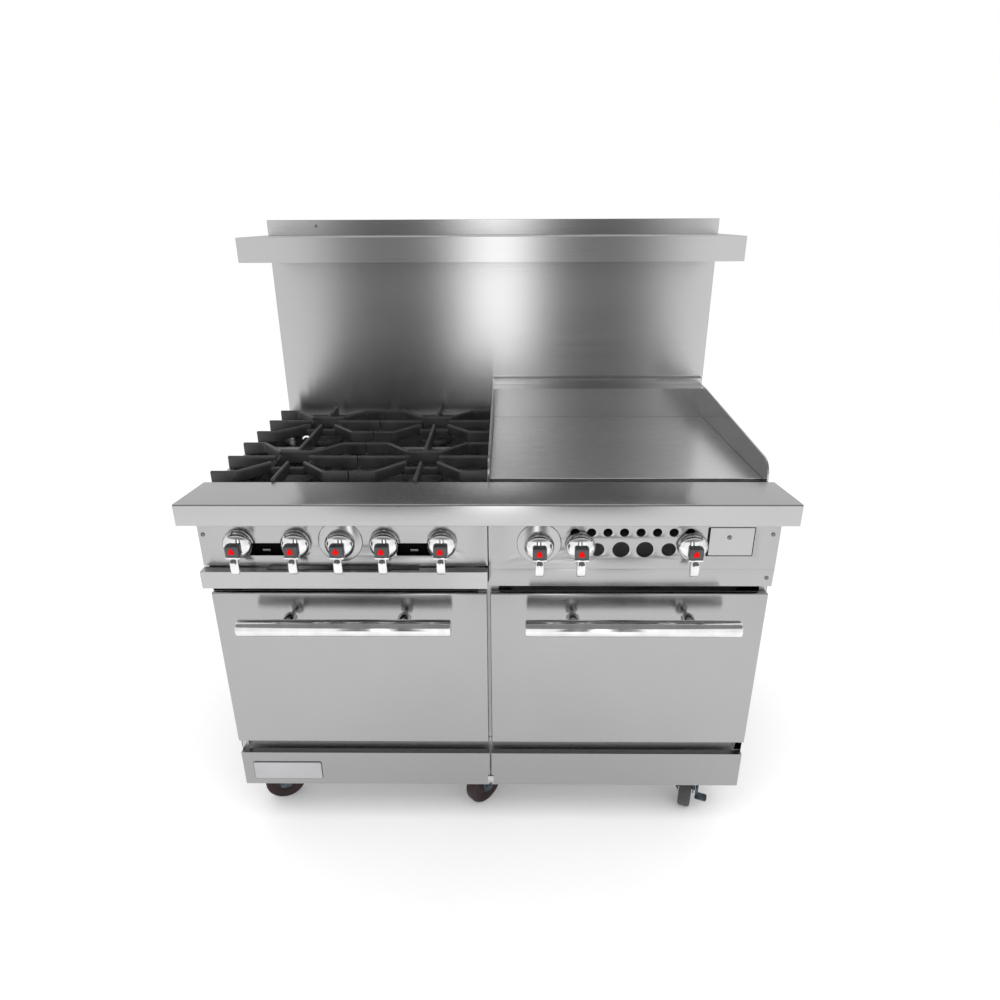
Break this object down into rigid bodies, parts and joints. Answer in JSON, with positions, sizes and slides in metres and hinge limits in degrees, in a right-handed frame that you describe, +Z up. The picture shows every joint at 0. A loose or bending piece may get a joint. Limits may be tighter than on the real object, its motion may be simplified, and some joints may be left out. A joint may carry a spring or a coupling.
{
  "type": "commercial gas range",
  "caption": "Free-standing stainless gas range with open burners, a griddle, two drop-door ovens, a high shelf and casters.",
  "frame": {"origin": "on the floor, under the middle of the range's outer box", "axes": "+X from the cook's left to right along the front, +Y from the front towards the wall, +Z up"},
  "size_m": [1.2192, 0.8256, 1.433],
  "materials": {
    "stainless": "brushed stainless steel, grain along X",
    "aluminised_steel": "aluminised or galvanised sheet, matt",
    "griddle_steel": "ground steel plate",
    "chrome": "polished chrome plate",
    "cast_iron": "seasoned cast iron, slightly rough",
    "black_pipe": "black gas pipe",
    "zinc_plate": "zinc plated pressed steel",
    "maroon_wheel": "dark maroon polyurethane tread",
    "grey_wheel": "dark grey rubber tread",
    "black_paint": "black painted pressed steel"
  },
  "bodies": {
    "range_body": {"side_panel_left": "stainless", "side_panel_right": "stainless", "back_panel": "aluminised_steel", "base_frame": "aluminised_steel", "centre_post": "aluminised_steel", "front_ledge": "stainless", "control_panel_left": "stainless", "control_panel_right": "stainless", "kick_panel_left": "stainless", "kick_panel_right": "stainless", "backguard": "stainless", "high_shelf": "stainless", "gas_manifold": "black_pipe", "burner_box": "aluminised_steel", "griddle_plate": "griddle_steel", "griddle_splash": "stainless", "griddle_burner": "aluminised_steel", "oven_liner_left": "aluminised_steel", "oven_liner_right": "aluminised_steel", "oven_rack_left": "chrome", "oven_rack_right": "chrome", "oven_burner_left": "cast_iron", "oven_burner_right": "cast_iron", "burner_1": "cast_iron", "burner_2": "cast_iron", "burner_3": "cast_iron", "burner_4": "cast_iron"},
    "crumb_tray": {"crumb_tray": "stainless"},
    "grease_drawer": {"grease_drawer": "stainless"},
    "door_left": {"door_left": "stainless", "door_liner_left": "aluminised_steel", "handle_left": "chrome"},
    "door_right": {"door_right": "stainless", "door_liner_right": "aluminised_steel", "handle_right": "chrome"},
    "grate_1": {"grate_1": "cast_iron"},
    "grate_2": {"grate_2": "cast_iron"},
    "grate_3": {"grate_3": "cast_iron"},
    "grate_4": {"grate_4": "cast_iron"},
    "knob_1": {"knob_1": "chrome"},
    "knob_2": {"knob_2": "chrome"},
    "knob_3": {"knob_3": "chrome"},
    "knob_4": {"knob_4": "chrome"},
    "knob_5": {"knob_5": "chrome"},
    "knob_6": {"knob_6": "chrome"},
    "knob_7": {"knob_7": "chrome"},
    "knob_8": {"knob_8": "chrome"},
    "caster_fork_1": {"caster_fork_1": "zinc_plate"},
    "caster_fork_2": {"caster_fork_2": "zinc_plate"},
    "caster_fork_3": {"caster_fork_3": "zinc_plate"},
    "caster_fork_4": {"caster_fork_4": "zinc_plate"},
    "caster_fork_5": {"caster_fork_5": "zinc_plate"},
    "caster_fork_6": {"caster_fork_6": "zinc_plate"},
    "caster_wheel_1": {"caster_wheel_1": "maroon_wheel"},
    "caster_wheel_2": {"caster_wheel_2": "maroon_wheel"},
    "caster_wheel_3": {"caster_wheel_3": "grey_wheel"},
    "caster_wheel_4": {"caster_wheel_4": "grey_wheel"},
    "caster_wheel_5": {"caster_wheel_5": "grey_wheel"},
    "caster_wheel_6": {"caster_wheel_6": "grey_wheel"},
    "brake_lever": {"brake_lever": "black_paint"}
  },
  "joints": [
    {"name": "crumb_tray_slide", "type": "slide", "parent": "range_body", "child": "crumb_tray", "axis": [0, -1, 0], "range_m": [0, 0.45]},
    {"name": "grease_drawer_slide", "type": "slide", "parent": "range_body", "child": "grease_drawer", "axis": [0, -1, 0], "range_m": [0, 0.14]},
    {"name": "door_left_hinge", "type": "hinge", "parent": "range_body", "child": "door_left", "pos_m": [-0.306, -0.31275, 0.27], "axis": [1, 0, 0], "range_deg": [0, 88]},
    {"name": "door_right_hinge", "type": "hinge", "parent": "range_body", "child": "door_right", "pos_m": [0.306, -0.31275, 0.27], "axis": [1, 0, 0], "range_deg": [0, 88]},
    {"name": "grate_1_lift", "type": "slide", "parent": "range_body", "child": "grate_1", "axis": [0, 0, 1], "range_m": [0, 0.12]},
    {"name": "grate_2_lift", "type": "slide", "parent": "range_body", "child": "grate_2", "axis": [0, 0, 1], "range_m": [0, 0.12]},
    {"name": "grate_3_lift", "type": "slide", "parent": "range_body", "child": "grate_3", "axis": [0, 0, 1], "range_m": [0, 0.12]},
    {"name": "grate_4_lift", "type": "slide", "parent": "range_body", "child": "grate_4", "axis": [0, 0, 1], "range_m": [0, 0.12]},
    {"name": "knob_1_turn", "type": "hinge", "parent": "range_body", "child": "knob_1", "pos_m": [-0.526, -0.34, 0.804], "axis": [0, -1, 0], "range_deg": [0, 90]},
    {"name": "knob_2_turn", "type": "hinge", "parent": "range_body", "child": "knob_2", "pos_m": [-0.405, -0.34, 0.804], "axis": [0, -1, 0], "range_deg": [0, 90]},
    {"name": "knob_3_turn", "type": "hinge", "parent": "range_body", "child": "knob_3", "pos_m": [-0.311, -0.34, 0.804], "axis": [0, -1, 0], "range_deg": [0, 225]},
    {"name": "knob_4_turn", "type": "hinge", "parent": "range_body", "child": "knob_4", "pos_m": [-0.218, -0.34, 0.804], "axis": [0, -1, 0], "range_deg": [0, 90]},
    {"name": "knob_5_turn", "type": "hinge", "parent": "range_body", "child": "knob_5", "pos_m": [-0.097, -0.34, 0.804], "axis": [0, -1, 0], "range_deg": [0, 90]},
    {"name": "knob_6_turn", "type": "hinge", "parent": "range_body", "child": "knob_6", "pos_m": [0.1075, -0.34, 0.799], "axis": [0, -1, 0], "range_deg": [0, 225]},
    {"name": "knob_7_turn", "type": "hinge", "parent": "range_body", "child": "knob_7", "pos_m": [0.194, -0.34, 0.799], "axis": [0, -1, 0], "range_deg": [0, 90]},
    {"name": "knob_8_turn", "type": "hinge", "parent": "range_body", "child": "knob_8", "pos_m": [0.428, -0.34, 0.799], "axis": [0, -1, 0], "range_deg": [-90, 0]},
    {"name": "caster_1_swivel", "type": "hinge", "parent": "range_body", "child": "caster_fork_1", "pos_m": [-0.522, -0.20775, 0.14], "axis": [0, 0, 1], "continuous": true},
    {"name": "caster_2_swivel", "type": "hinge", "parent": "range_body", "child": "caster_fork_2", "pos_m": [0, -0.20775, 0.14], "axis": [0, 0, 1], "continuous": true},
    {"name": "caster_3_swivel", "type": "hinge", "parent": "range_body", "child": "caster_fork_3", "pos_m": [0.522, -0.20775, 0.14], "axis": [0, 0, 1], "continuous": true},
    {"name": "caster_4_swivel", "type": "hinge", "parent": "range_body", "child": "caster_fork_4", "pos_m": [-0.522, 0.32725, 0.14], "axis": [0, 0, 1], "continuous": true},
    {"name": "caster_5_swivel", "type": "hinge", "parent": "range_body", "child": "caster_fork_5", "pos_m": [0, 0.32725, 0.14], "axis": [0, 0, 1], "continuous": true},
    {"name": "caster_6_swivel", "type": "hinge", "parent": "range_body", "child": "caster_fork_6", "pos_m": [0.522, 0.32725, 0.14], "axis": [0, 0, 1], "continuous": true},
    {"name": "caster_1_roll", "type": "hinge", "parent": "caster_fork_1", "child": "caster_wheel_1", "pos_m": [-0.55207, -0.21869, 0.0508], "axis": [0.342, -0.9397, 0], "continuous": true},
    {"name": "caster_2_roll", "type": "hinge", "parent": "caster_fork_2", "child": "caster_wheel_2", "pos_m": [-0.02263, -0.23038, 0.0508], "axis": [0.7071, -0.7071, 0], "continuous": true},
    {"name": "caster_3_roll", "type": "hinge", "parent": "caster_fork_3", "child": "caster_wheel_3", "pos_m": [0.51106, -0.23782, 0.0508], "axis": [0.9397, -0.342, 0], "continuous": true},
    {"name": "caster_4_roll", "type": "hinge", "parent": "caster_fork_4", "child": "caster_wheel_4", "pos_m": [-0.55207, 0.33819, 0.0508], "axis": [-0.342, -0.9397, 0], "continuous": true},
    {"name": "caster_5_roll", "type": "hinge", "parent": "caster_fork_5", "child": "caster_wheel_5", "pos_m": [0.02621, 0.3456, 0.0508], "axis": [-0.5736, 0.8192, 0], "continuous": true},
    {"name": "caster_6_roll", "type": "hinge", "parent": "caster_fork_6", "child": "caster_wheel_6", "pos_m": [0.51106, 0.35732, 0.0508], "axis": [-0.9397, -0.342, 0], "continuous": true},
    {"name": "brake_lever_press", "type": "hinge", "parent": "caster_fork_3", "child": "brake_lever", "pos_m": [0.51106, -0.23782, 0.0508], "axis": [0.9397, -0.342, 0], "range_deg": [0, 12]}
  ]
}
